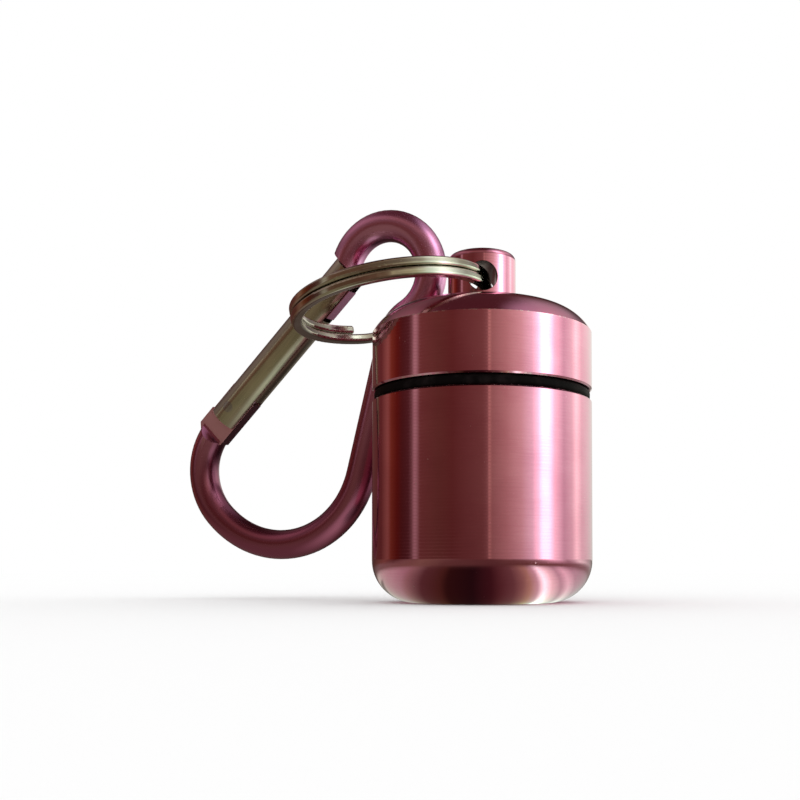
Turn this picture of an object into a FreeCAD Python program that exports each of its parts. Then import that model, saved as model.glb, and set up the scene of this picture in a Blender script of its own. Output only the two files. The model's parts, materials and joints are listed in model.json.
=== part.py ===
import FreeCAD, Part
import Sketcher
import math
import os
import re

V = FreeCAD.Vector
doc = FreeCAD.newDocument("pill_fob")
sheet = doc.addObject("Spreadsheet::Sheet", "Sizes")

# Every driving size, in millimetres and degrees.
SIZES = [
    # turned bottle
    ("body_diameter", 28.0),
    ("base_corner", 5.4),
    ("body_height", 25.5),
    ("neck_wall", 1.3),
    ("floor_thick", 2.2),
    ("floor_corner", 3.0),
    ("neck_height", 7.5),
    ("lip_chamfer", 0.4),
    ("rim_chamfer", 0.2),
    # screw thread shared by neck and cap
    ("thread_pitch", 2.0),
    ("thread_depth", 0.6),
    ("thread_root", 0.9),
    ("thread_crest", 0.5),
    ("thread_gap", 0.2),
    ("thread_lead_in", 1.0),
    ("neck_thread_length", 4.4),
    ("cap_thread_length", 3.4),
    # sealing ring in the seam
    ("seal_height", 1.35),
    ("seal_inset", 0.25),
    ("seal_neck_gap", 0.1),
    ("seal_corner", 0.5),
    # screw cap with its knob
    ("skirt_height", 7.3),
    ("cap_wall", 1.2),
    ("roof_gap", 0.6),
    ("dome_radius", 6.6),
    ("dome_edge_slope", 60.0),
    ("dome_top_slope", 13.0),
    ("crown_slope", 9.0),
    ("knob_diameter", 8.7),
    ("knob_height", 6.35),
    ("knob_edge", 0.85),
    ("eye_diameter", 3.7),
    ("eye_height", 2.65),
    ("eye_turn_angle", -1.5),
    # two-coil split ring
    ("ring_radius", 12.38),
    ("ring_width", 1.45),
    ("ring_thick", 1.12),
    ("ring_coil_gap", 0.1),
    ("ring_corner", 0.35),
    ("ring_shift", 0.49),
    ("ring_rise", -0.05),
    ("ring_turn_angle", 3.0),
    ("ring_pitch_angle", -2.63),
    ("ring_droop_angle", 10.03),
    ("upper_end_angle", 124.0),
    ("cross_start_angle", 74.0),
    ("cross_span_angle", 46.0),
    ("lower_end_angle", 60.0),
    # carabiner frame, drawn flat in its own plane
    ("rod_diameter", 4.28),
    ("top_loop_radius", 6.46),
    ("waist_radius", 5.21),
    ("spine_angle", 16.9),
    ("bottom_radius", 14.06),
    ("side_radius", 9.03),
    ("side_start_angle", 42.0),
    ("loop_across", 18.72),
    ("loop_along", 23.22),
    ("spine_reach", 21.27),
    ("clip_turn_angle", 20.0),
    ("clip_lean_angle", 6.0),
    ("clip_seat_angle", 94.2),
    ("clip_gap", 0.3),
    # gate and the ends that it meets
    ("gate_angle", 47.48),
    ("gate_diameter", 4.9),
    ("gate_tail", 2.4),
    ("gate_start", 2.04),
    ("gate_nose_gap", 0.15),
    ("gate_length", 29.1),
    ("tenon_thick", 2.0),
    ("tenon_inset", 0.15),
    ("tenon_flare", 0.1),
    ("tenon_back", 3.1),
    ("ramp_slope", 0.6),
    ("ramp_ease", 0.35),
    ("tenon_tip", 2.6),
    ("slot_side_gap", 0.15),
    ("slot_end_gap", 0.6),
    ("rivet_diameter", 1.6),
    ("rivet_gap", 0.05),
    ("tongue_length", 7.1),
    ("tongue_width", 3.6),
    ("tongue_inset", 0.1),
    ("latch_diameter", 1.2),
    ("latch_setback", 1.3),
    ("latch_gap", 0.15),
    ("spring_bore", 3.5),
    ("spring_bore_depth", 15.0),
    ("plunger_gap", 0.05),
    ("plunger_head", 1.6),
    ("plunger_stem_diameter", 1.5),
    ("plunger_stem", 2.4),
    ("spring_wire", 0.35),
    ("spring_side_gap", 0.15),
    ("spring_end_gap", 0.02),
    ("spring_turns", 6.5),
]
for row, (alias, value) in enumerate(SIZES, start=1):
    sheet.set("A%d" % row, alias)
    sheet.set("B%d" % row, repr(value))
    sheet.setAlias("B%d" % row, alias)
doc.recompute()


def size(alias):
    return float(sheet.get(alias))


def cell(text):
    return re.sub(r"[a-z]+(?:_[a-z]+)+", lambda m: "Sizes." + m.group(0), text)


def at(text):
    value = sheet.evalExpression(cell(text))
    return float(getattr(value, "Value", value))


def new_body(label):
    body = doc.addObject("PartDesign::Body", label)
    body.Label = label
    return body


def plane(body, name):
    for item in body.Origin.OriginFeatures:
        if item.Role == name:
            return item
    raise RuntimeError("no plane " + name)


def new_sketch(body, name, role):
    sketch = body.newObject("Sketcher::SketchObject", name)
    sketch.AttachmentSupport = [(plane(body, role), "")]
    sketch.MapMode = "FlatFace"
    return sketch


def pin_point(sketch, edge, end, across, up, free=""):
    if free != "x":
        if across == "0":
            sketch.addConstraint(Sketcher.Constraint("PointOnObject", edge, end, -2))
        else:
            i = sketch.addConstraint(Sketcher.Constraint("DistanceX", -1, 1, edge, end, at(across)))
            sketch.setExpression("Constraints[%d]" % i, cell(across))
    if free != "y":
        if up == "0":
            sketch.addConstraint(Sketcher.Constraint("PointOnObject", edge, end, -1))
        else:
            i = sketch.addConstraint(Sketcher.Constraint("DistanceY", -1, 1, edge, end, at(up)))
            sketch.setExpression("Constraints[%d]" % i, cell(up))


def profile(body, name, corners):
    # corners give across and up, and a curved edge adds its centre and the way left free
    sketch = new_sketch(body, name, "XZ_Plane")
    points = [(at(c[0]), at(c[1])) for c in corners]
    ends = []
    for i, corner in enumerate(corners):
        p, q = points[i - 1], points[i]
        if len(corner) == 2:
            edge = sketch.addGeometry(Part.LineSegment(V(p[0], p[1], 0), V(q[0], q[1], 0)))
            ends.append((edge, 1, 2))
            continue
        cx, cy = at(corner[2]), at(corner[3])
        a = math.atan2(p[1] - cy, p[0] - cx)
        b = math.atan2(q[1] - cy, q[0] - cx)
        turn = (b - a + math.pi) % (2 * math.pi) - math.pi
        circle = Part.Circle(V(cx, cy, 0), V(0, 0, 1), math.hypot(p[0] - cx, p[1] - cy))
        if turn > 0:
            edge = sketch.addGeometry(Part.ArcOfCircle(circle, a, a + turn))
            ends.append((edge, 1, 2))
        else:
            edge = sketch.addGeometry(Part.ArcOfCircle(circle, b, b - turn))
            ends.append((edge, 2, 1))
    for i in range(len(ends)):
        edge, start, _ = ends[i]
        before, _, end = ends[i - 1]
        sketch.addConstraint(Sketcher.Constraint("Coincident", before, end, edge, start))
    for (edge, _, end), corner in zip(ends, corners):
        pin_point(sketch, edge, end, corner[0], corner[1], corner[4] if len(corner) > 2 else "")
        if len(corner) > 2:
            pin_point(sketch, edge, 3, corner[2], corner[3])
    doc.recompute()
    return sketch


def turned(body, name, corners):
    sketch = profile(body, name + "_profile", corners)
    turn = body.newObject("PartDesign::Revolution", name)
    turn.Profile = sketch
    turn.ReferenceAxis = (sketch, ["V_Axis"])
    turn.Angle = 360.0
    sketch.Visibility = False
    doc.recompute()
    return turn


def thread(body, name, corners, length):
    sketch = profile(body, name + "_profile", corners)
    ridge = body.newObject("PartDesign::AdditiveHelix", name)
    ridge.Profile = sketch
    ridge.ReferenceAxis = (sketch, ["V_Axis"])
    ridge.Mode = 0
    ridge.setExpression("Pitch", cell("thread_pitch"))
    ridge.setExpression("Height", cell(length))
    ridge.LeftHanded = False
    sketch.Visibility = False
    doc.recompute()
    return ridge


# Heights and radii that several pieces share.
outer = "body_diameter / 2"
cap_bore = outer + " - cap_wall"
neck = cap_bore + " - thread_gap - thread_depth"
bore = neck + " - neck_wall"
neck_top = "body_height + neck_height"
rim = "body_height + seal_height"
shoulder = rim + " + skirt_height"
roof = neck_top + " + roof_gap"
dome_x = "body_diameter / 2 - dome_radius * sin(dome_edge_slope * 1 deg)"
dome_z = shoulder + " - dome_radius * cos(dome_edge_slope * 1 deg)"
crown_x = dome_x + " + dome_radius * sin(dome_top_slope * 1 deg)"
crown_z = dome_z + " + dome_radius * cos(dome_top_slope * 1 deg)"
knob = "knob_diameter / 2"
knob_foot = crown_z + " + (" + crown_x + " - knob_diameter / 2) * tan(crown_slope * 1 deg)"
knob_top = knob_foot + " + knob_height"
eye_z = knob_foot + " + eye_height"
thread_foot = rim + " + thread_lead_in"

# Turned bottle with its threaded neck.
bottle = new_body("pill_bottle")
floor_x = bore + " - floor_corner"
turned(bottle, "bottle_turn", [
    ("0", "0"),
    (outer + " - base_corner", "0"),
    (outer, "base_corner", outer + " - base_corner", "base_corner", "x"),
    (outer, "body_height - rim_chamfer"),
    (outer + " - rim_chamfer", "body_height"),
    (neck, "body_height"),
    (neck, neck_top + " - lip_chamfer"),
    (neck + " - lip_chamfer", neck_top),
    (bore, neck_top),
    (bore, "floor_thick + floor_corner"),
    (floor_x, "floor_thick", floor_x, "floor_thick + floor_corner", "y"),
    ("0", "floor_thick"),
])
thread(bottle, "neck_thread", [
    (neck + " - thread_gap", thread_foot),
    (neck + " + thread_depth", thread_foot + " + (thread_root - thread_crest) / 2"),
    (neck + " + thread_depth", thread_foot + " + (thread_root + thread_crest) / 2"),
    (neck + " - thread_gap", thread_foot + " + thread_root"),
], "neck_thread_length - thread_root")

# Soft sealing ring that fills the seam.
seal = new_body("seal_ring")
seal_in = neck + " + seal_neck_gap"
seal_out = outer + " - seal_inset"
seal_x = seal_out + " - seal_corner"
turned(seal, "seal_turn", [
    (seal_in, "body_height"),
    (seal_x, "body_height"),
    (seal_out, "body_height + seal_corner", seal_x, "body_height + seal_corner", "x"),
    (seal_out, rim + " - seal_corner"),
    (seal_x, rim, seal_x, rim + " - seal_corner", "y"),
    (seal_in, rim),
])

# Screw cap: skirt, dome and knob in one turning, with an inner thread and a cross hole.
cap = new_body("screw_cap")
turned(cap, "cap_turn", [
    (cap_bore, rim),
    (outer + " - rim_chamfer", rim),
    (outer, rim + " + rim_chamfer"),
    (outer, shoulder),
    (crown_x, crown_z, dome_x, dome_z, "y"),
    (knob, knob_foot),
    (knob, knob_top + " - knob_edge"),
    (knob + " - knob_edge", knob_top, knob + " - knob_edge", knob_top + " - knob_edge", "y"),
    ("0", knob_top),
    ("0", roof),
    (cap_bore, roof),
])
cap_foot = thread_foot + " + thread_pitch / 2"
thread(cap, "cap_thread", [
    (cap_bore + " + thread_gap", cap_foot),
    (cap_bore + " + thread_gap", cap_foot + " + thread_root"),
    (cap_bore + " - thread_depth", cap_foot + " + (thread_root + thread_crest) / 2"),
    (cap_bore + " - thread_depth", cap_foot + " + (thread_root - thread_crest) / 2"),
], "cap_thread_length - thread_root")
eye_sketch = new_sketch(cap, "eye_profile", "XZ_Plane")
eye_spin = FreeCAD.Rotation(V(0, 1, 0), -size("eye_turn_angle"))
eye_sketch.AttachmentOffset = FreeCAD.Placement(V(0, 0, 0), eye_spin)
eye_circle = eye_sketch.addGeometry(Part.Circle(V(0, at(eye_z), 0), V(0, 0, 1), at("eye_diameter / 2")))
pin_point(eye_sketch, eye_circle, 3, "0", eye_z)
i = eye_sketch.addConstraint(Sketcher.Constraint("Diameter", eye_circle, at("eye_diameter")))
eye_sketch.setExpression("Constraints[%d]" % i, cell("eye_diameter"))
doc.recompute()
eye = cap.newObject("PartDesign::Pocket", "eye")
eye.Profile = eye_sketch
eye.Type = 1
eye.Midplane = True
eye_sketch.Visibility = False
doc.recompute()


def arc_on(p, way, q):
    # arc that leaves p along way and ends at q
    chord = q.sub(p)
    side = chord - way * chord.dot(way)
    side.normalize()
    radius = chord.dot(chord) / (2 * chord.dot(side))
    centre = p + side * radius
    middle = (p + q) * 0.5 - centre
    middle.normalize()
    return Part.Arc(p, centre + middle * radius, q).toShape()


def biarc(p, p_way, q, q_way):
    chord = q.sub(p)
    ways = p_way + q_way
    spread = 2 * (1 - p_way.dot(q_way))
    lean = chord.dot(ways)
    reach = (math.sqrt(lean * lean + spread * chord.dot(chord)) - lean) / spread
    joint = (p + q + (p_way - q_way) * reach) * 0.5
    first = arc_on(p, p_way, joint)
    way = first.tangentAt(first.LastParameter)
    return [first, arc_on(joint, way, q)]


def sweep(edges, section):
    tube = Part.Wire(edges).makePipeShell([section], True, False)
    if tube.ShapeType != "Solid":
        tube = tube.Solids[0]
    return tube


def place(feature, origin, x, y, z):
    feature.Placement = FreeCAD.Placement(origin, FreeCAD.Rotation(x, y, z, "XYZ"))


def add_form(label, shape):
    feature = doc.addObject("Part::Feature", label)
    feature.Label = label
    feature.Shape = shape
    return feature


def unit(vector):
    vector = V(vector)
    vector.normalize()
    return vector


# Split ring: one strip wound twice, flat in each coil, stepping across between its two ends.
ring_r = size("ring_radius")
layer = (size("ring_thick") + size("ring_coil_gap")) / 2


def on_ring(angle, height):
    a = math.radians(angle)
    return V(ring_r * math.cos(a), ring_r * math.sin(a), height)


def ring_way(angle):
    a = math.radians(angle)
    return V(-math.sin(a), math.cos(a), 0)


def ring_arc(start, end, height):
    middle = on_ring((start + end) / 2, height)
    return Part.Arc(on_ring(start, height), middle, on_ring(end, height)).toShape()


upper_end = size("upper_end_angle")
cross_start = size("cross_start_angle") + 360
cross_end = cross_start + size("cross_span_angle")
lower_end = size("lower_end_angle") + 720
upper_mid = (upper_end + cross_start) / 2
lower_mid = (cross_end + lower_end) / 2
ring_path = [ring_arc(upper_end, upper_mid, layer), ring_arc(upper_mid, cross_start, layer)]
step_from, step_to = on_ring(cross_start, layer), on_ring(cross_end, -layer)
ring_path += biarc(step_from, ring_way(cross_start), step_to, ring_way(cross_end))
ring_path += [ring_arc(cross_end, lower_mid, -layer), ring_arc(lower_mid, lower_end, -layer)]


def strip_section(centre, across, up, width, thick, corner):
    w, h, c = width / 2 - corner, thick / 2 - corner, corner
    k = c * math.sqrt(0.5)
    lines = []
    spots = [(w, h, 1, 1), (-w, h, -1, 1), (-w, -h, -1, -1), (w, -h, 1, -1)]

    def spot(a, b):
        return centre + across * a + up * b

    for n, (x, y, sx, sy) in enumerate(spots):
        side, top = spot(x + sx * c, y), spot(x, y + sy * c)
        first, last = (side, top) if n % 2 == 0 else (top, side)
        lines.append(Part.Arc(first, spot(x + sx * k, y + sy * k), last).toShape())
        nx, ny, nsx, nsy = spots[(n + 1) % 4]
        nside, ntop = spot(nx + nsx * c, ny), spot(nx, ny + nsy * c)
        lines.append(Part.LineSegment(last, ntop if n % 2 == 0 else nside).toShape())
    return Part.Wire(lines)


start_out = V(math.cos(math.radians(upper_end)), math.sin(math.radians(upper_end)), 0)
ring_section = strip_section(on_ring(upper_end, layer), start_out, V(0, 0, 1), size("ring_width"),
                             size("ring_thick"), size("ring_corner"))
ring_solid = sweep(ring_path, ring_section)
ring_tips = [e for f in ring_solid.Faces if f.Area < 2 * size("ring_width") * size("ring_thick")
             and isinstance(f.Surface, Part.Plane) for e in f.Edges]
tip_round = 0.9 * size("ring_corner")
ring_solid = ring_solid.makeFillet(tip_round, ring_tips)
ring_points = Part.Wire(ring_path).discretize(720)
least = min(a.distanceToPoint(b) for n, a in enumerate(ring_points) for b in ring_points[n + 200:])
print("split ring least gap to itself %.3f mm" % (least - size("ring_thick")))

eye_at = V(0, 0, at(eye_z))
turn = math.radians(size("ring_turn_angle"))
pitch = math.radians(size("ring_pitch_angle"))
droop = math.radians(size("ring_droop_angle"))
ring_y = V(math.sin(turn) * math.cos(pitch), math.cos(turn) * math.cos(pitch), math.sin(pitch))
level = unit(V(1, 0, 0) - ring_y * ring_y.x)
ring_x = level * math.cos(droop) + level.cross(ring_y) * math.sin(droop)
ring_z = ring_x.cross(ring_y)
ring_centre = eye_at + V(size("ring_shift"), 0, size("ring_rise")) - ring_x * ring_r
ring = add_form("split_ring", ring_solid)
place(ring, ring_centre, ring_x, ring_y, ring_z)

# Carabiner plane: its origin is where the spine lies against the ring.
seat = math.radians(size("clip_seat_angle"))
seat_out = ring_x * math.cos(seat) + ring_y * math.sin(seat)
rod_r = size("rod_diameter") / 2
clip_origin = ring_centre + seat_out * (ring_r - size("ring_width") / 2 - size("clip_gap") - rod_r)
clip_turn = math.radians(size("clip_turn_angle"))
clip_lean = math.radians(size("clip_lean_angle"))
clip_x = V(math.cos(clip_turn), -math.sin(clip_turn), 0)
clip_back = unit(V(math.tan(clip_turn), 1, math.tan(clip_lean)))
clip_y = clip_x.cross(clip_back)
clip_z = clip_x.cross(clip_y)

# Centre line of the bent rod, from the nose over the top loop, down the spine and round to the hinge.
spine = math.radians(size("spine_angle"))
spine_up = V(math.sin(spine), math.cos(spine), 0)
spine_out = V(math.cos(spine), -math.sin(spine), 0)
top_r = size("top_loop_radius")
waist_r = size("waist_radius")
low_r = size("bottom_radius")
side_r = size("side_radius")
spine_low = spine_up * -size("spine_reach")
low_centre = spine_low - spine_out * low_r
top_centre = low_centre + V(size("loop_across"), size("loop_along"), 0)
top_side = (top_centre - spine_low).dot(spine_out)
top_rise = (top_centre - spine_low).dot(spine_up)
waist_rise = top_rise - math.sqrt((top_r + waist_r) ** 2 - (waist_r - top_side) ** 2)
waist_centre = spine_low + spine_out * waist_r + spine_up * waist_rise
spine_high = spine_low + spine_up * waist_rise
bend = top_centre + unit(waist_centre - top_centre) * top_r
gate = math.radians(size("gate_angle"))
gate_up = V(math.sin(gate), math.cos(gate), 0)
gate_in = V(math.cos(gate), -math.sin(gate), 0)
turn_in = math.radians(180 + size("side_start_angle"))
side_from = V(math.cos(turn_in), math.sin(turn_in), 0)
side_centre = low_centre + side_from * (low_r - side_r)
side_join = low_centre + side_from * low_r
gate_foot = side_centre - gate_in * side_r
hinge = gate_foot + gate_up * (size("gate_start") + size("gate_tail"))
tenon_end = hinge + gate_up * size("tenon_tip")
gate_end = size("gate_length") - size("gate_tail")
nose_cut = gate_end + size("gate_nose_gap")
nose_side = (top_centre - hinge).dot(gate_in)
nose_rise = (top_centre - hinge).dot(gate_up) - math.sqrt(top_r ** 2 - nose_side ** 2)
nose_meet = hinge + gate_up * nose_rise - top_centre
nose_angle = math.atan2(nose_meet.y, nose_meet.x) + 1.5 * math.atan2(rod_r, top_r)
bend_angle = math.atan2(bend.y - top_centre.y, bend.x - top_centre.x)
if nose_angle < bend_angle:
    nose_angle += 2 * math.pi


def loop_arc(centre, radius, start, end):
    def spot(a):
        return centre + V(radius * math.cos(a), radius * math.sin(a), 0)

    return Part.Arc(spot(start), spot((start + end) / 2), spot(end)).toShape()


def bow(centre, radius, p, q):
    middle = centre + unit((p + q) * 0.5 - centre) * radius
    return Part.Arc(p, middle, q).toShape()


low_start = -spine
low_end = turn_in - 2 * math.pi
top_split = (nose_angle + bend_angle) / 2
rod_path = [
    loop_arc(top_centre, top_r, nose_angle, top_split),
    loop_arc(top_centre, top_r, top_split, bend_angle),
    bow(waist_centre, waist_r, bend, spine_high),
    Part.LineSegment(spine_high, spine_low).toShape(),
    loop_arc(low_centre, low_r, low_start, low_end),
    bow(side_centre, side_r, side_join, gate_foot),
    Part.LineSegment(gate_foot, tenon_end).toShape(),
]
nose_start = rod_path[0].valueAt(rod_path[0].FirstParameter)
nose_way = rod_path[0].tangentAt(rod_path[0].FirstParameter)
rod = sweep(rod_path, Part.Wire([Part.Circle(nose_start, nose_way, rod_r).toShape()]))


def gate_block(x0, x1, y0, y1, z0, z1):
    # block in the gate's own axes: in, back, along
    block = Part.makeBox(x1 - x0, y1 - y0, z1 - z0, V(x0, y0, z0))
    block.Placement = gate_local.multiply(block.Placement)
    return block


def gate_prism(points, x0, x1):
    # outline in back and along, drawn out sideways
    face = Part.Face(Part.makePolygon([V(x0, y, z) for y, z in points + points[:1]]))
    prism = face.extrude(V(x1 - x0, 0, 0))
    prism.Placement = gate_local.multiply(prism.Placement)
    return prism


def gate_plate(points, y0, y1):
    # plate with its outline in the gate's own plane, as thick as from y0 to y1
    face = Part.Face(Part.makePolygon([V(x, y0, z) for x, z in points + points[:1]]))
    plate = face.extrude(V(0, y1 - y0, 0))
    plate.Placement = gate_local.multiply(plate.Placement)
    return plate


def gate_hole(radius, along):
    # hole along the hinge axis
    hole = Part.makeCylinder(radius, 4 * rod_r, V(0, -2 * rod_r, along), V(0, 1, 0))
    hole.Placement = gate_local.multiply(hole.Placement)
    return hole


gate_local = FreeCAD.Placement(hinge, FreeCAD.Rotation(gate_in, V(0, 0, -1), gate_up, "XYZ"))
half_flat = size("tenon_thick") / 2
shoulder_z = -size("gate_tail") - size("tenon_back")
past = 1.5 * rod_r
ramp_end = shoulder_z - (past - half_flat) * size("ramp_slope")
ease = size("ramp_ease")
tenon_past = size("tenon_tip") + rod_r
for way in (1, -1):
    waste = [
        (way * half_flat, shoulder_z + ease),
        (way * (half_flat + ease / 3), shoulder_z),
        (way * past, ramp_end),
        (way * past, tenon_past),
        (way * half_flat, tenon_past),
    ]
    rod = rod.cut(gate_prism(waste, -2 * rod_r, 2 * rod_r))
tenon_in = size("gate_diameter") / 2 - size("tenon_inset")
tenon_out = size("gate_diameter") / 2 + size("tenon_flare")
tenon_outline = [
    (tenon_in, size("tenon_tip")),
    (tenon_in, shoulder_z),
    (0, shoulder_z - tenon_in),
    (-tenon_out, shoulder_z),
    (-tenon_out, -size("gate_tail")),
    (-tenon_in, -size("gate_tail")),
    (-tenon_in, size("tenon_tip")),
]
rod = rod.fuse(gate_plate(tenon_outline, -half_flat, half_flat))
rivet_hole = gate_hole(size("rivet_diameter") / 2 + size("rivet_gap"), 0)
rod = rod.cut(rivet_hole)
rod = rod.cut(gate_block(-3 * rod_r, 2 * rod_r, -2 * rod_r, 2 * rod_r, nose_cut - 3 * rod_r, nose_cut))
latch_z = gate_end - size("latch_setback")
tongue_w = size("tongue_width") / 2
tongue_tip = gate_end - size("tongue_length")
tongue_in = size("gate_diameter") / 2 - size("tongue_inset")
tongue = gate_block(-tongue_w, tongue_in, -half_flat, half_flat, tongue_tip, nose_cut + rod_r / 2)
notch_r = size("latch_diameter") / 2 + size("latch_gap")
notch = gate_hole(notch_r, latch_z)
notch = notch.fuse(gate_block(0, 2 * tongue_in, -2 * rod_r, 2 * rod_r, latch_z - notch_r, latch_z + notch_r))
rod = rod.fuse(tongue.cut(notch)).removeSplitter()
if rod.ShapeType != "Solid":
    rod = rod.Solids[0]
frame = add_form("carabiner_frame", rod)
place(frame, clip_origin, clip_x, clip_y, clip_z)
gate_world = frame.Placement.multiply(gate_local)


def cylinder(name, radius, height, origin, angle=0.0):
    # angle 90 lays the cylinder along the gate's hinge axis
    item = doc.addObject("Part::Cylinder", name)
    item.setExpression("Radius", cell(radius))
    item.setExpression("Height", cell(height))
    item.Placement = FreeCAD.Placement(V(0, 0, 0), FreeCAD.Rotation(V(1, 0, 0), -angle))
    for way, text in zip("xyz", origin):
        if text != "0":
            item.setExpression("Placement.Base." + way, cell(text))
    return item


def block(name, length, width, height, origin):
    item = doc.addObject("Part::Box", name)
    item.setExpression("Length", cell(length))
    item.setExpression("Width", cell(width))
    item.setExpression("Height", cell(height))
    for way, text in zip("xyz", origin):
        item.setExpression("Placement.Base." + way, cell(text))
    return item


def cut(label, base, tools):
    group = doc.addObject("Part::MultiFuse", label + "_tools")
    group.Shapes = tools
    item = doc.addObject("Part::Cut", label)
    item.Label = label
    item.Base = base
    item.Tool = group
    item.Placement = gate_world
    return item


def common(label, first, second):
    item = doc.addObject("Part::MultiCommon", label)
    item.Label = label
    item.Shapes = [first, second]
    item.Placement = gate_world
    return item


# Gate bar: bored for its spring, slotted at both ends, in axes that start at the hinge.
bar = cylinder("bar", "gate_diameter / 2", "gate_length", ("0", "0", "-gate_tail"))
spring_hole = cylinder("spring_hole", "spring_bore / 2", "spring_bore_depth", ("0", "0", "-gate_tail"))
slot_width = "tenon_thick + 2 * slot_side_gap"
slot_side = "-tenon_thick / 2 - slot_side_gap"
hinge_deep = "gate_tail + tenon_tip + slot_end_gap + gate_diameter"
nose_deep = "tongue_length + slot_end_gap + gate_diameter"
nose_foot = "gate_length - gate_tail - tongue_length - slot_end_gap"
latch_at = "gate_length - gate_tail - latch_setback"
wide = "2 * gate_diameter"
rivet_from = ("0", "-gate_diameter", "0")
latch_from = ("0", "-gate_diameter", latch_at)
hinge_corner = ("-gate_diameter", slot_side, "-gate_tail - gate_diameter")
hinge_slot = block("hinge_slot", wide, slot_width, hinge_deep, hinge_corner)
nose_slot = block("nose_slot", wide, slot_width, nose_deep, ("-gate_diameter", slot_side, nose_foot))
rivet_bore = cylinder("rivet_bore", "rivet_diameter / 2", wide, rivet_from, 90)
latch_bore = cylinder("latch_bore", "latch_diameter / 2", wide, latch_from, 90)
gate_bar = cut("gate_bar", bar, [spring_hole, hinge_slot, nose_slot, rivet_bore, latch_bore])
rivet_rod = cylinder("rivet_rod", "rivet_diameter / 2", wide, rivet_from, 90)
rivet_trim = cylinder("rivet_trim", "gate_diameter / 2", "gate_length", ("0", "0", "-gate_tail"))
rivet = common("hinge_rivet", rivet_rod, rivet_trim)
latch_rod = cylinder("latch_rod", "latch_diameter / 2", wide, latch_from, 90)
latch_trim = cylinder("latch_trim", "gate_diameter / 2", "gate_length", ("0", "0", "-gate_tail"))
latch = common("latch_pin", latch_rod, latch_trim)
head = cylinder("head", "spring_bore / 2 - plunger_gap", "plunger_head", ("0", "0", "tenon_tip"))
stem = cylinder("stem", "plunger_stem_diameter / 2", "plunger_head + plunger_stem", ("0", "0", "tenon_tip"))
plunger = doc.addObject("Part::MultiFuse", "gate_plunger")
plunger.Label = "gate_plunger"
plunger.Shapes = [head, stem]
plunger.Placement = gate_world
doc.recompute()

# Closing spring: a round wire wound in half turns between the plunger head and the end of its bore.
wire = size("spring_wire")
coil_r = size("spring_bore") / 2 - size("spring_side_gap") - wire / 2
coil_low = size("tenon_tip") + size("plunger_head") + wire / 2 + size("spring_end_gap")
coil_high = size("spring_bore_depth") - size("gate_tail") - wire / 2 - size("spring_end_gap")
halves = int(round(2 * size("spring_turns")))
rise = (coil_high - coil_low) / halves


def on_coil(n):
    a = math.pi * n
    return V(coil_r * math.cos(a), coil_r * math.sin(a), coil_low + rise * n)


def coil_way(n):
    a = math.pi * n
    return unit(V(-coil_r * math.sin(a), coil_r * math.cos(a), rise / math.pi))


coil_path = []
for n in range(halves):
    coil_path += biarc(on_coil(n), coil_way(n), on_coil(n + 1), coil_way(n + 1))
coil_section = Part.Wire([Part.Circle(on_coil(0), coil_way(0), wire / 2).toShape()])
coil_solid = sweep(coil_path, coil_section)
coil_points = Part.Wire(coil_path).discretize(30 * halves)
least = min(a.distanceToPoint(b) for n, a in enumerate(coil_points) for b in coil_points[n + 40:n + 80])
print("gate spring least gap to itself %.3f mm" % (least - wire))
spring = add_form("gate_spring", coil_solid)
spring.Placement = gate_world
doc.recompute()

seat_at = ring_centre + seat_out * ring_r
seat_way = ring_y * math.cos(seat) - ring_x * math.sin(seat)
eye_turn = math.radians(size("eye_turn_angle"))
eye_way = V(math.sin(eye_turn), math.cos(eye_turn), 0)
gate_way = gate_world.Rotation.multVec(V(0, 1, 0))
bar_way = gate_world.Rotation.multVec(V(0, 0, 1))
axes = [
    ("cap", V(0, 0, at(rim)), V(0, 0, 1)),
    ("ring", eye_at, eye_way),
    ("clip", seat_at, seat_way),
    ("gate", gate_world.Base, gate_way),
    ("plunger", gate_world.Base, bar_way),
]
for name, point, way in axes:
    print("axis %-8s at %.4f %.4f %.4f along %.6f %.6f %.6f" % ((name,) + tuple(point) + tuple(way)))

parts = [bottle, seal, cap, ring, frame, gate_bar, rivet, latch, plunger, spring]
for item in doc.Objects:
    if "Invalid" in item.State or "Error" in item.State:
        raise RuntimeError("feature failed: " + item.Label)
os.makedirs("parts", exist_ok=True)
for item in parts:
    shape = item.Shape
    if not shape.isValid() or len(shape.Solids) != 1:
        raise RuntimeError("bad solid: %s %s %d" % (item.Label, shape.isValid(), len(shape.Solids)))
    shape.exportStep("parts/%s.step" % item.Label)
    box = shape.BoundBox
    print("%-16s volume %9.3f  x %7.2f %7.2f  y %7.2f %7.2f  z %7.2f %7.2f" % (
        item.Label, shape.Volume, box.XMin, box.XMax, box.YMin, box.YMax, box.ZMin, box.ZMax))
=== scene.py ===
import json
import math

import bpy
from mathutils import Matrix, Vector


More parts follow.
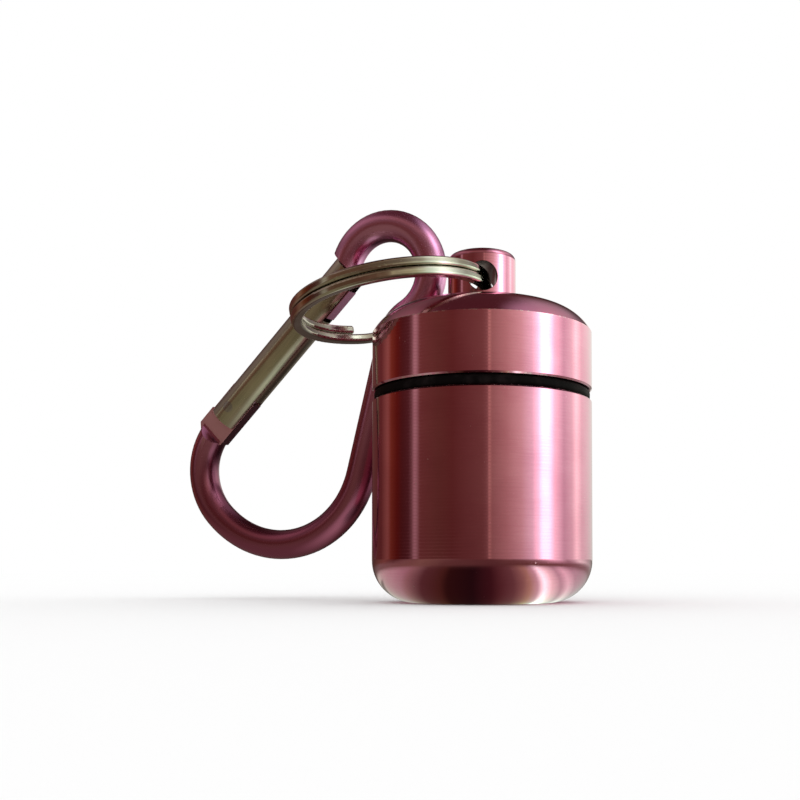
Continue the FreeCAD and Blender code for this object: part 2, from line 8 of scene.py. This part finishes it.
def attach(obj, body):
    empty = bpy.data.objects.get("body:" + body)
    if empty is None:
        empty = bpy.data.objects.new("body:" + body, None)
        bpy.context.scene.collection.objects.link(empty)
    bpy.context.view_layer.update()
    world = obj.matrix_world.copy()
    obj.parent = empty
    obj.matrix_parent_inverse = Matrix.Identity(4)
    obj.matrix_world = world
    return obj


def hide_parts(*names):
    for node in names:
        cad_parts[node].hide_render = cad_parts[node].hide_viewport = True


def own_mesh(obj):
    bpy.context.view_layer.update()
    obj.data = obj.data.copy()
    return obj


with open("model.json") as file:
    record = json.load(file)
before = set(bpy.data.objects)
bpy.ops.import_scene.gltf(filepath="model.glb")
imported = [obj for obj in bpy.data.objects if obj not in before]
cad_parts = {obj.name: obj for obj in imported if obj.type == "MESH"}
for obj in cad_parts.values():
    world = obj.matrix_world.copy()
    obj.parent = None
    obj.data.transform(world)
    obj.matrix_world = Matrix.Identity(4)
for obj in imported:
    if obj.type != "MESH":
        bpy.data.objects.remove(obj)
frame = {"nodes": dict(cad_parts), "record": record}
nodes = frame["nodes"]
joints = {joint["name"]: joint for joint in frame["record"]["behaviour"]["joints"]}
openings = {opening["name"]: opening for opening in frame["record"]["physics"]["openings"]}
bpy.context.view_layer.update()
scene = bpy.context.scene
scene.view_settings.view_transform = "Standard"
mm = 0.001
fullTurn = 2 * math.pi
white = (1, 1, 1, 1)
print("frame loaded:", len(nodes), "nodes")


class Value:  # a socket that takes part in Python sums
    def __init__(self, paint, socket):
        self.paint = paint
        self.socket = socket

    def maths(self, operation, *others):
        return self.paint.maths(operation, self, *others)

    def __add__(self, other):
        return self.paint.maths("ADD", self, other)

    def __sub__(self, other):
        return self.paint.maths("SUBTRACT", self, other)

    def __mul__(self, other):
        return self.paint.maths("MULTIPLY", self, other)

    def __truediv__(self, other):
        return self.paint.maths("DIVIDE", self, other)

    def __radd__(self, other):
        return self.paint.maths("ADD", other, self)

    def __rsub__(self, other):
        return self.paint.maths("SUBTRACT", other, self)

    def __rmul__(self, other):
        return self.paint.maths("MULTIPLY", other, self)

    def __rtruediv__(self, other):
        return self.paint.maths("DIVIDE", other, self)


class Paint:  # one node tree, filled one node at a time
    def __init__(self, tree):
        self.tree = tree
        tree.nodes.clear()

    def add(self, kind, settings=None, sockets=None, out=0):
        node = self.tree.nodes.new(kind)
        for name, value in (settings or {}).items():
            if name == "stops":
                self.fillRamp(node.color_ramp, value)
            else:
                setattr(node, name, value)
        pairs = sockets.items() if isinstance(sockets, dict) else enumerate(sockets or [])
        for name, value in pairs:
            if isinstance(value, Value):
                self.tree.links.new(value.socket, node.inputs[name])
            else:
                node.inputs[name].default_value = value
        if isinstance(out, tuple):
            return [Value(self, node.outputs[o]) for o in out]
        return Value(self, node.outputs[out]) if node.outputs else node

    def fillRamp(self, ramp, stops):
        while len(ramp.elements) > 1:
            ramp.elements.remove(ramp.elements[-1])
        ramp.elements[0].position = stops[0][0]
        ramp.elements[0].color = (*stops[0][1], 1)
        for place, colour in stops[1:]:
            ramp.elements.new(place).color = (*colour, 1)

    def maths(self, operation, *values):
        return self.add("ShaderNodeMath", {"operation": operation}, values)

    def vectors(self, operation, *values, out=0):
        return self.add("ShaderNodeVectorMath", {"operation": operation}, values, out)

    def dim(self, colour, share):
        return self.add("ShaderNodeVectorMath", {"operation": "SCALE"}, {0: colour, "Scale": share})

    def blend(self, share, first, second):  # colours
        return self.add("ShaderNodeMix", {"data_type": "RGBA"}, {0: share, 6: first, 7: second}, out=2)

    def split(self, vector):
        return self.add("ShaderNodeSeparateXYZ", {}, [vector], out=(0, 1, 2))

    def join(self, x, y, z):
        return self.add("ShaderNodeCombineXYZ", {}, [x, y, z])

    def span(self, x, y):  # distance from the axis
        return (x * x + y * y).maths("SQRT")

    def step(self, value, low, high, start=0.0, end=1.0):  # eased, from start to end
        eased = {"interpolation_type": "SMOOTHSTEP"}
        return self.add("ShaderNodeMapRange", eased, [value, low, high, start, end])

    def fall(self, value, low, high):
        return self.step(value, low, high, 1.0, 0.0)

    def noise(self, vector, scale=1.0, detail=4.0):
        return self.add("ShaderNodeTexNoise", {}, {"Vector": vector, "Scale": scale, "Detail": detail})

    def specks(self, vector, scale, size):
        dots = self.add("ShaderNodeTexVoronoi", {}, {"Vector": vector, "Scale": scale, "Randomness": 1.0})
        return self.fall(dots, *size)

    def bump(self, height, depth):
        return self.add("ShaderNodeBump", {}, {"Strength": 1.0, "Distance": depth, "Height": height})


def summed(start, shares, parts):  # start, plus each part by its share
    total = start
    for name, share in shares.items():
        total = total + parts[name] * share
    return total


def newFinish(name):
    finish = bpy.data.materials.new(name)
    finish.use_nodes = True
    return finish, Paint(finish.node_tree)


def closeFinish(paint, sockets):
    shader = paint.add("ShaderNodeBsdfPrincipled", {}, sockets)
    paint.add("ShaderNodeOutputMaterial", {}, {"Surface": shader})


def dress(names, finish):
    for name in names:
        for slot in nodes[name].material_slots:
            slot.material = finish


def millimetres(paint):
    spot = paint.add("ShaderNodeTexCoord", out="Object")
    return paint.add("ShaderNodeMapping", {}, {"Vector": spot, "Scale": (1 / mm, 1 / mm, 1 / mm)})


def ownAxes(paint, centre, along):  # place in mm with Z down the piece's own axis
    zAxis = Vector(along).normalized()
    xAxis = zAxis.orthogonal().normalized()
    turn = Matrix((xAxis, zAxis.cross(xAxis), zAxis))
    sockets = {
        "Vector": paint.add("ShaderNodeTexCoord", out="Object"),
        "Location": turn @ Vector(centre) / -mm,
        "Rotation": turn.to_euler(),
        "Scale": (1 / mm, 1 / mm, 1 / mm),
    }
    return paint.add("ShaderNodeMapping", {}, sockets)


# camera, just above the table, close in, with the frame slid up and to the left
camera = {
    "place": (0.0824 * mm, -132.913 * mm, 4.066 * mm),
    "lens": 46.8786,
    "sensor": 36,
    "shift": (-0.085, 0.17),
    "turnLeft": 0.01405,
    "tiltUp": 0.03298,
    "clip": (0.001, 20),
}


def addCamera(c):
    data = bpy.data.cameras.new("camera")
    data.sensor_width = c["sensor"]
    data.lens = c["lens"]
    data.shift_x, data.shift_y = c["shift"]
    data.clip_start, data.clip_end = c["clip"]
    rig = bpy.data.objects.new("camera", data)
    scene.collection.objects.link(rig)
    rig.location = c["place"]
    rig.rotation_euler = (math.pi / 2 + c["tiltUp"], 0, c["turnLeft"])
    scene.camera = rig


addCamera(camera)
print("camera placed")

# white table, and a room of soft panels that the metal mirrors
room = {
    "floorSide": 3.0,
    "floorColour": (0.94, 0.94, 0.94, 1),
    "plainLight": 1.06,
    "brightest": 3.0,  # a ramp holds 0 to 1, so each light is stored as its share of this
    "lift": (0.95, 1.6),  # the walls' light at the table, and how it grows with the rise
    "liftEnd": 0.3,  # sine of the rise where that stops
    "ceilingStart": (0.28, 0.37),  # sine of the rise, from the walls to the dim ceiling
    "overhead": (0.46, 0.64, 1.0, 1.9),  # where the ceiling grows lighter, and by how much
    "topStart": (0.74, 0.93),  # and from there to the top
    "topDark": (0.075, 0.03, 0.03, 1),
    "topLight": (0.45, 0.41, 0.44, 1),
    "topSide": (0.14, 0.42),  # how far to the right the top grows light
    "walls": [  # degrees round from the camera side, to the right, and the light there
        (-180, (0.60, 0.55, 0.52)),
        (-171, (0.45, 0.38, 0.36)),
        (-163, (0.09, 0.035, 0.03)),
        (-127, (0.10, 0.03, 0.025)),
        (-113, (0.22, 0.11, 0.075)),
        (-107, (0.14, 0.04, 0.018)),
        (-97, (0.085, 0.014, 0.008)),
        (-89, (0.06, 0.018, 0.014)),
        (-80, (0.07, 0.028, 0.024)),
        (-76, (0.14, 0.10, 0.08)),
        (-72.5, (0.36, 0.33, 0.27)),
        (-70, (0.30, 0.27, 0.22)),
        (-66, (0.13, 0.065, 0.045)),
        (-45, (0.10, 0.05, 0.031)),
        (-30, (0.095, 0.038, 0.026)),
        (-15, (0.12, 0.06, 0.043)),
        (1, (0.145, 0.085, 0.06)),
        (6.4, (0.19, 0.13, 0.095)),
        (7.6, (0.62, 0.52, 0.34)),
        (8.8, (0.26, 0.20, 0.14)),
        (25, (0.41, 0.35, 0.26)),
        (40, (0.60, 0.60, 0.47)),
        (52, (0.86, 1.02, 0.90)),
        (59, (1.5, 1.7, 1.55)),
        (64, (2.8, 2.9, 2.7)),
        (71, (2.8, 2.9, 2.7)),
        (79, (1.25, 1.40, 1.25)),
        (92, (0.66, 0.70, 0.65)),
        (105, (0.85, 0.98, 0.84)),
        (113, (1.3, 1.5, 1.25)),
        (124, (0.85, 0.86, 0.78)),
    ],
    "ceiling": [
        (-180, (0.030, 0.010, 0.011)),
        (-140, (0.10, 0.06, 0.06)),
        (-90, (0.20, 0.15, 0.14)),
        (-30, (0.13, 0.085, 0.06)),
        (15, (0.16, 0.115, 0.09)),
        (40, (0.38, 0.34, 0.30)),
        (62, (1.1, 1.15, 1.1)),
        (76, (1.0, 1.05, 1.0)),
        (95, (0.44, 0.41, 0.39)),
        (145, (0.22, 0.18, 0.19)),
        (168, (0.05, 0.02, 0.02)),
    ],
    "tableNear": [  # painted reflection of the table as the metal sees it, close round the bottle, with the bottle's painted shadow in it
        (-180, (0.10, 0.05, 0.045)),
        (-140, (0.16, 0.10, 0.09)),
        (-115, (0.58, 0.60, 0.50)),
        (-75, (0.50, 0.50, 0.43)),
        (-62, (0.42, 0.40, 0.35)),
        (-55, (0.31, 0.28, 0.22)),
        (-48, (0.20, 0.165, 0.13)),
        (-41, (0.10, 0.055, 0.046)),
        (-27, (0.065, 0.03, 0.018)),
        (-22, (0.028, 0.011, 0.008)),
        (-6, (0.018, 0.008, 0.008)),
        (6, (0.05, 0.018, 0.018)),
        (12, (0.10, 0.05, 0.042)),
        (20, (0.15, 0.10, 0.08)),
        (26, (0.28, 0.24, 0.16)),
        (31, (0.46, 0.47, 0.26)),
        (37, (0.68, 0.78, 0.65)),
        (42, (1.80, 2.80, 2.20)),
        (49, (1.10, 1.40, 1.10)),
        (58, (0.60, 0.68, 0.60)),
        (67, (1.00, 1.15, 1.00)),
        (80, (0.58, 0.62, 0.57)),
        (130, (0.40, 0.38, 0.36)),
    ],
    "tableFar": [
        (-180, (0.03, 0.02, 0.018)),
        (-150, (0.06, 0.04, 0.035)),
        (-120, (0.20, 0.15, 0.13)),
        (-58, (0.21, 0.18, 0.11)),
        (-32, (0.12, 0.08, 0.055)),
        (10, (0.10, 0.06, 0.045)),
        (45, (0.16, 0.11, 0.07)),
        (90, (0.25, 0.20, 0.17)),
        (140, (0.30, 0.26, 0.24)),
    ],
    "tableBeyond": [
        (-180, (0.14, 0.12, 0.11)),
        (-150, (0.07, 0.03, 0.025)),
        (-112, (0.18, 0.09, 0.06)),
        (-95, (0.08, 0.03, 0.02)),
        (-78, (0.16, 0.12, 0.09)),
        (-55, (0.20, 0.16, 0.10)),
        (-32, (0.17, 0.13, 0.09)),
        (-16, (0.12, 0.06, 0.045)),
        (4, (0.145, 0.085, 0.06)),
        (25, (0.33, 0.28, 0.21)),
        (50, (0.66, 0.74, 0.64)),
        (66, (2.0, 2.1, 1.95)),
        (90, (0.55, 0.58, 0.53)),
        (113, (1.0, 1.2, 1.0)),
        (135, (0.55, 0.55, 0.50)),
        (160, (0.20, 0.18, 0.16)),
    ],
    "nearToFar": (21, 36),  # mm out from the bottle's axis
    "farToBeyond": (40, 110),
    "paintedTableShadow": (17, 20, 0.6, 0.0),  # painted shadow of the bottle on the table, by the distance out
    "paintedTableShadowSide": (1.05, 1.2),  # and where: behind it, on the left
}


def turnAbout(x, y):  # 0 to 1 round the bottle, with the camera side at a half
    return x.maths("ARCTAN2", y * -1) / fullTurn + 0.5


def panels(paint, turn, stops):
    whole = stops + [(180, stops[0][1])]
    shares = [((angle + 180) / 360, [c / room["brightest"] for c in light]) for angle, light in whole]
    return paint.add("ShaderNodeValToRGB", {"stops": shares}, [turn])


def background(paint, colour, strength):
    return paint.add("ShaderNodeBackground", {}, {"Color": colour, "Strength": strength})


def lightRoom(r):
    world = bpy.data.worlds.new("room")
    scene.world = world
    world.use_nodes = True
    world.cycles.sampling_method = "NONE"
    paint = Paint(world.node_tree)
    x, y, z = paint.split(paint.add("ShaderNodeTexCoord"))
    turn = turnAbout(x, y)
    lowest, growth = r["lift"]
    lift = z.maths("MAXIMUM", 0).maths("MINIMUM", r["liftEnd"]) * growth + lowest
    walls = paint.dim(panels(paint, turn, r["walls"]), lift)
    ceiling = paint.dim(panels(paint, turn, r["ceiling"]), paint.step(z, *r["overhead"]))
    dark, light = ([c / r["brightest"] for c in r[name]] for name in ("topDark", "topLight"))
    top = paint.blend(paint.step(x, *r["topSide"]), dark, light)
    mirrored = paint.blend(paint.step(z, *r["ceilingStart"]), walls, ceiling)
    mirrored = paint.blend(paint.step(z, *r["topStart"]), mirrored, top)
    seen, gloss = paint.add("ShaderNodeLightPath", out=("Is Camera Ray", "Is Glossy Ray"))
    plain = background(paint, white, r["plainLight"])
    mirror = background(paint, mirrored, r["brightest"])
    lit = paint.add("ShaderNodeMixShader", {}, [gloss, plain, mirror])
    shown = paint.add("ShaderNodeMixShader", {}, [seen, lit, background(paint, white, 1.0)])
    paint.add("ShaderNodeOutputWorld", {}, {"Surface": shown})


def addFloor(r):
    bpy.ops.object.select_all(action="DESELECT")
    bpy.ops.mesh.primitive_plane_add(size=r["floorSide"])
    floor = bpy.context.object
    floor.name = "table"
    finish, paint = newFinish("tableWhite")
    x, y = paint.split(millimetres(paint))[:2]
    turn = turnAbout(x, y)
    near, far, beyond = (panels(paint, turn, r[name]) for name in ("tableNear", "tableFar", "tableBeyond"))
    reach = paint.span(x, y)
    side = paint.step((y - x) / reach, *r["paintedTableShadowSide"])
    # painted shadow of the bottle on the table
    near = paint.dim(near, 1 - side * paint.step(reach, *r["paintedTableShadow"]))
    mirrored = paint.blend(paint.step(reach, *r["nearToFar"]), near, far)
    mirrored = paint.blend(paint.step(reach, *r["farToBeyond"]), mirrored, beyond)
    gloss = paint.add("ShaderNodeLightPath", out="Is Glossy Ray")
    plain = paint.add("ShaderNodeBsdfDiffuse", {}, {"Color": r["floorColour"]})
    # the table glows with this painted reflection, which only the metal sees
    glow = paint.add("ShaderNodeEmission", {}, {"Color": mirrored, "Strength": r["brightest"]})
    surface = paint.add("ShaderNodeMixShader", {}, [gloss, plain, glow])
    paint.add("ShaderNodeOutputMaterial", {}, {"Surface": surface})
    floor.data.materials.append(finish)


lightRoom(room)
addFloor(room)
print("room lit")

# pink anodised bottle and cap, off the lathe
turned = {
    "pink": (0.82, 0.30, 0.45, 1),
    "deepPink": (0.74, 0.24, 0.38, 1),
    "worn": (0.90, 0.62, 0.66, 1),
    # painted shade inside the eye's bore
    "bore": (0.05, 0.012, 0.018, 1),
    "feed": 0.40,  # mm between the tool's lines
    "lineDepth": 0.001 * mm,
    "flatStart": (0.55, 0.85),  # how level a face is where its lines turn to circles
    "grooveStart": (0.55, 0.95),
    "chatter": (0.05, 9.0),  # how fine it is outwards, and across the lines
    "streak": (0.35, 14.0),
    "streakDetail": 2.0,
    "cloud": (0.16, 3.0),  # scale and detail, here and in the other finishes
    "toneShares": {"cloud": 0.7, "streak": 0.3},
    "toneStart": (0.38, 0.66),
    "bottleEdges": [25.5],  # mm up, where the dye is worn off
    "capEdges": [26.9, 34.15, 44.3],
    "wearWidth": (0.04, 0.16),  # mm
    "wearPatches": (1.9, 3.0),
    "wearStart": (0.44, 0.62),
    "dustScale": 0.62,
    "dustSize": (0.05, 0.075),
    "dustPatches": (0.3, 1.0),
    "dustStart": (0.5, 0.6),
    "paleShares": {"wear": 0.7, "dust": 0.4},
    "palest": 0.8,
    "roughness": 0.03,
    "haze": {"chatter": 0.03, "cloud": 0.02, "groove": 0.09, "wear": 0.16, "dust": 0.25, "shadedBore": 0.3},
    "relief": {"feed": 0.6, "chatter": 0.4, "dust": 1.5},
    "coatRoughness": 0.04,
    "eye": joints["ring_swing"]["pos_m"],
    "eyeAxis": joints["ring_swing"]["axis"],
    "eyeRadius": (1.87, 1.92),  # mm, with a soft edge
}


def turnedFinish(t, name, edges):
    finish, paint = newFinish(name)
    spot = millimetres(paint)
    x, y, z = paint.split(spot)
    reach = paint.span(x, y)
    level = paint.split(paint.add("ShaderNodeTexCoord", out="Normal"))[2].maths("ABSOLUTE")
    flat = paint.step(level, *t["flatStart"])
    across = z * (1 - flat) + reach * flat  # up the sides, outwards on flat faces
    part = {"feed": (across * (fullTurn / t["feed"])).maths("SINE") * 0.5 + 0.5}
    part["groove"] = paint.step(part["feed"], *t["grooveStart"])
    outwards, fine = t["chatter"]
    part["chatter"] = paint.noise(paint.join(reach * outwards, 0.0, across * fine))
    part["cloud"] = paint.noise(spot, *t["cloud"])
    outwards, fine = t["streak"]
    streaks = paint.join(x * outwards, y * outwards, across * fine)
    part["streak"] = paint.noise(streaks, detail=t["streakDetail"])
    wear = 0
    for edge in edges:
        wear = paint.fall((z - edge).maths("ABSOLUTE"), *t["wearWidth"]).maths("MAXIMUM", wear)
    part["wear"] = wear * paint.step(paint.noise(spot, *t["wearPatches"]), *t["wearStart"])
    dusty = paint.step(paint.noise(spot, *t["dustPatches"]), *t["dustStart"])
    part["dust"] = paint.specks(spot, t["dustScale"], t["dustSize"]) * dusty
    # painted shade inside the eye's bore, which is also rougher
    aside = x * t["eyeAxis"][1] - y * t["eyeAxis"][0]
    above = z - t["eye"][2] / mm
    part["shadedBore"] = paint.fall(paint.span(aside, above), *t["eyeRadius"])
    deep = paint.step(summed(0, t["toneShares"], part), *t["toneStart"])
    pale = summed(0, t["paleShares"], part).maths("MINIMUM", t["palest"])
    tone = paint.blend(deep, t["pink"], t["deepPink"])
    tone = paint.blend(pale, tone, t["worn"])
    tone = paint.blend(part["shadedBore"], tone, t["bore"])
    closeFinish(paint, {
        "Base Color": tone,
        "Metallic": 1.0,
        "Roughness": summed(t["roughness"], t["haze"], part),
        "Normal": paint.bump(summed(0, t["relief"], part), t["lineDepth"]),
        "Coat Weight": 1.0,
        "Coat Roughness": t["coatRoughness"],
        "Coat IOR": 1.5,
    })
    return finish


dress(["pill_bottle"], turnedFinish(turned, "pinkBottle", turned["bottleEdges"]))
dress(["screw_cap"], turnedFinish(turned, "pinkCap", turned["capEdges"]))
print("bottle and cap finished")

# rubber washer in the seam
rubber = {
    "black": (0.003, 0.002, 0.002, 1),
    "dusty": (0.009, 0.006, 0.006, 1),
    "cloud": (0.5, 3.0),
    "dustyStart": (0.45, 0.7),
    "grain": (9.0, 4.0),
    "grainDepth": 0.004 * mm,
    "roughness": 0.42,
    "haze": {"cloud": 0.2},
    "shine": 0.04,
}


def rubberFinish(r):
    finish, paint = newFinish("sealRubber")
    spot = millimetres(paint)
    cloud = paint.noise(spot, *r["cloud"])
    closeFinish(paint, {
        "Base Color": paint.blend(paint.step(cloud, *r["dustyStart"]), r["black"], r["dusty"]),
        "Roughness": summed(r["roughness"], r["haze"], {"cloud": cloud}),
        "Normal": paint.bump(paint.noise(spot, *r["grain"]), r["grainDepth"]),
        "Specular IOR Level": r["shine"],
    })
    return finish


dress(["seal_ring"], rubberFinish(rubber))
print("seal finished")

# plated split ring, drawn along its wire
ring = {
    "centre": (-11.684 * mm, 0.538 * mm, 38.556 * mm),
    "across": (-0.174, 0.054, 0.983),  # square to its coils
    "silver": (0.64, 0.63, 0.54, 1),
    "olive": (0.50, 0.47, 0.35, 1),
    "lines": (7.0, 0.12),  # how fine they are across the wire, and along it
    "lineDepth": 0.002 * mm,
    "cloud": (0.35, 3.0),
    "scuff": (1.3, 5.0),  # how fine along the coils, and across them
    "scuffStart": (0.60, 0.72),
    "toneShares": {"cloud": 0.6, "lines": 0.4},
    "toneStart": (0.42, 0.64),
    "roughness": 0.05,
    "haze": {"lines": 0.12, "cloud": 0.06, "scuff": 0.12},
}


def ringFinish(r):
    finish, paint = newFinish("ringPlating")
    x, y, z = paint.split(ownAxes(paint, r["centre"], r["across"]))
    fine, along = r["lines"]
    part = {"lines": paint.noise(paint.join(paint.span(x, y) * fine, z * fine, x * along))}
    part["cloud"] = paint.noise(millimetres(paint), *r["cloud"])
    wide, fine = r["scuff"]
    scuffs = paint.noise(paint.join(x * wide, y * wide, z * fine))
    part["scuff"] = paint.step(scuffs, *r["scuffStart"])
    dull = paint.step(summed(0, r["toneShares"], part), *r["toneStart"])
    closeFinish(paint, {
        "Base Color": paint.blend(dull, r["silver"], r["olive"]),
        "Metallic": 1.0,
        "Roughness": summed(r["roughness"], r["haze"], part),
        "Normal": paint.bump(part["lines"], r["lineDepth"]),
    })
    return finish


dress(["split_ring"], ringFinish(ring))
print("ring finished")

# mauve carabiner, bent from drawn rod
rod = {
    "mauve": (0.88, 0.38, 0.66, 1),
    "paintedShadeMauve": (0.46, 0.13, 0.23, 1),
    "paintedShadeLow": (46.0, 8.0),  # mm up, painted shade: darker lower down, towards the wide bend
    "paintedShadeLowWander": 8.0,
    "inside": (0.16, 0.035, 0.07, 1),  # painted shade, darkest on the faces that look in to the middle of the wide bend
    "paintedShadeInBendStart": (0.42, 0.88, 0.0, 0.8),
    "bend": openings["carabiner_wide_end"]["box_m"],
    "worn": (0.72, 0.52, 0.56, 1),
    "seat": joints["carabiner_swing"]["pos_m"],  # the ring rubs here
    "seatSize": (2.5, 5.0),  # mm
    "rubPatches": (2.4, 4.0),
    "rubStart": (0.50, 0.66),
    "nickScale": 0.8,
    "nickSize": (0.05, 0.08),
    "nickStart": (0.52, 0.60),
    "paleShares": {"rubbed": 0.55, "nicks": 0.35},
    "palest": 0.8,
    "milled": (0.90, 0.50, 0.54, 1),  # flats cut beside the hinge
    "milledStart": (0.985, 0.995),
    "milledShare": 0.9,
    "milledDulling": 0.08,
    "hinge": joints["gate_open"]["pos_m"],
    "hingeSize": (4.5, 9.0),  # mm
    "across": joints["gate_open"]["axis"],
    "cloud": (0.22, 3.0),
    "fine": (6.0, 4.0),
    "grain": 0.0006 * mm,
    "roughness": 0.19,
    "haze": {"fine": 0.06, "cloud": 0.08, "rubbed": 0.11, "milled": 0.2},
    "coat": 0.3,
    "coatRoughness": 0.16,
}


def rodFinish(r):
    finish, paint = newFinish("mauveRod")
    spot = millimetres(paint)
    facing = paint.add("ShaderNodeTexCoord", out="Normal")
    near = {}
    for name in ("seat", "hinge"):
        away = paint.vectors("DISTANCE", spot, Vector(r[name]) / mm, out="Value")
        near[name] = paint.fall(away, *r[name + "Size"])
    part = {"cloud": paint.noise(spot, *r["cloud"]), "fine": paint.noise(spot, *r["fine"])}
    part["rubbed"] = near["seat"] * paint.step(paint.noise(spot, *r["rubPatches"]), *r["rubStart"])
    nicked = paint.step(part["cloud"], *r["nickStart"])
    part["nicks"] = paint.specks(spot, r["nickScale"], r["nickSize"]) * nicked
    square = paint.vectors("DOT_PRODUCT", facing, r["across"], out="Value").maths("ABSOLUTE")
    part["milled"] = paint.step(square, *r["milledStart"]) * near["hinge"]
    height = paint.split(spot)[2] + (part["cloud"] - 0.5) * r["paintedShadeLowWander"]
    low, high = (Vector(corner) / mm for corner in r["bend"])
    inward = paint.vectors("NORMALIZE", paint.vectors("SUBTRACT", (low + high) / 2, spot))
    facingBendMiddle = paint.vectors("DOT_PRODUCT", facing, inward, out="Value")
    # painted shade, darker lower down
    tone = paint.blend(paint.step(height, *r["paintedShadeLow"]), r["mauve"], r["paintedShadeMauve"])
    # painted shade on the inside of the wide bend
    tone = paint.blend(paint.step(facingBendMiddle, *r["paintedShadeInBendStart"]), tone, r["inside"])
    pale = summed(0, r["paleShares"], part).maths("MINIMUM", r["palest"])
    tone = paint.blend(pale, tone, r["worn"])
    tone = paint.blend(part["milled"] * r["milledShare"], tone, r["milled"])
    closeFinish(paint, {
        "Base Color": tone,
        "Metallic": 1 - part["milled"] * r["milledDulling"],
        "Roughness": summed(r["roughness"], r["haze"], part),
        "Normal": paint.bump(part["fine"] - part["nicks"], r["grain"]),
        "Coat Weight": r["coat"],
        "Coat Roughness": r["coatRoughness"],
    })
    return finish


dress(["carabiner_frame"], rodFinish(rod))
print("carabiner finished")

# bare metal gate, polished lengthwise, and its steel pins and spring
gate = {
    "hinge": joints["gate_open"]["pos_m"],
    "hingeAxis": joints["gate_open"]["axis"],
    "along": joints["plunger_slide"]["axis"],
    "bare": ((0.66, 0.63, 0.50, 1), (0.56, 0.56, 0.44, 1)),
    "bareRoughness": 0.12,
    "steel": ((0.62, 0.61, 0.58, 1), (0.42, 0.42, 0.42, 1)),
    "steelRoughness": 0.14,
    "lines": (6.0, 0.18),  # how fine they are across the gate, and along it
    "lineDepth": 0.003 * mm,
    "scratches": (2.2, 0.5),
    "scratchDetail": 5.0,
    "scratchStart": (0.58, 0.70),
    "cloud": (0.3, 3.0),
    "toneShares": {"lines": 0.55, "cloud": 0.45},
    "toneStart": (0.40, 0.62),
    "haze": {"lines": 0.12, "scratches": 0.10, "cloud": 0.05},
}


def polishedFinish(g, name, tones, roughness):
    finish, paint = newFinish(name)
    x, y, z = paint.split(ownAxes(paint, g["hinge"], g["along"]))
    fine, along = g["lines"]
    part = {"lines": paint.noise(paint.join(x * fine, y * fine, z * along))}
    fine, along = g["scratches"]
    scratches = paint.noise(paint.join(x * fine, y * fine, z * along), detail=g["scratchDetail"])
    part["scratches"] = paint.step(scratches, *g["scratchStart"])
    part["cloud"] = paint.noise(millimetres(paint), *g["cloud"])
    closeFinish(paint, {
        "Base Color": paint.blend(paint.step(summed(0, g["toneShares"], part), *g["toneStart"]), *tones),
        "Metallic": 1.0,
        "Roughness": summed(roughness, g["haze"], part),
        "Normal": paint.bump(part["lines"], g["lineDepth"]),
    })
    return finish


dress(["gate_bar"], polishedFinish(gate, "gateMetal", gate["bare"], gate["bareRoughness"]))
pinFinish = polishedFinish(gate, "pinSteel", gate["steel"], gate["steelRoughness"])
dress(["hinge_rivet", "latch_pin", "gate_plunger"], pinFinish)
print("gate and pins finished")

# closing spring, wound from round wire and carried with the gate; the plunger squeezes the real spring as
# the gate opens, but this coil keeps its length
spring = {
    "wire": 0.35 * mm,
    "radius": 1.425 * mm,  # to the middle of the wire
    "start": 4.395 * mm,  # from the hinge, along the gate
    "end": 12.405 * mm,
    "turns": 6.5,
    "stepsPerTurn": 20,
    "wireSides": 10,
    "smoothUnder": math.radians(40),
    "roughness": 0.2,
    "travel": joints["plunger_slide"]["range_m"][1],
}


def windSpring(s):
    bpy.ops.object.select_all(action="DESELECT")
    bpy.ops.mesh.primitive_circle_add(vertices=s["wireSides"], radius=s["wire"] / 2)
    coil = bpy.context.object
    coil.name = "closing_spring"
    bpy.ops.object.mode_set(mode="EDIT")
    bpy.ops.mesh.select_all(action="SELECT")
    bpy.ops.transform.rotate(value=math.pi / 2, orient_axis="X", center_override=(0, 0, 0))
    bpy.ops.transform.translate(value=(s["radius"], 0, s["start"]))
    bpy.ops.object.mode_set(mode="OBJECT")
    screw = coil.modifiers.new("wind", "SCREW")
    screw.axis = "Z"
    screw.angle = s["turns"] * fullTurn
    screw.screw_offset = s["end"] - s["start"]
    screw.steps = screw.render_steps = round(s["turns"] * s["stepsPerTurn"])
    bpy.ops.object.modifier_apply(modifier="wind")
    bpy.ops.object.mode_set(mode="EDIT")
    bpy.ops.mesh.select_all(action="DESELECT")
    bpy.ops.mesh.select_non_manifold(extend=False)  # the two open ends
    bpy.ops.mesh.edge_face_add()
    bpy.ops.mesh.select_all(action="SELECT")
    bpy.ops.mesh.normals_make_consistent(inside=False)
    bpy.ops.object.mode_set(mode="OBJECT")
    bpy.ops.object.shade_smooth_by_angle(angle=s["smoothUnder"])
    zAxis = Vector(gate["along"]).normalized()
    yAxis = Vector(gate["hingeAxis"]).normalized()
    turn = Matrix((yAxis.cross(zAxis), yAxis, zAxis)).transposed().to_4x4()
    coil.matrix_world = Matrix.Translation(gate["hinge"]) @ turn
    bpy.ops.object.transform_apply(location=True, rotation=True, scale=True)
    light, dark = gate["steel"]
    coil.data.materials.append(polishedFinish(gate, "springSteel", (dark, light), s["roughness"]))
    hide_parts("gate_spring")
    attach(coil, "gate")
    whole = s["end"] - s["start"] + s["wire"]
    farEnd = Vector(gate["hinge"]) + zAxis * (s["end"] + s["wire"] / 2)
    1 - s["travel"] / whole
    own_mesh(coil)


windSpring(spring)
print("spring wound")
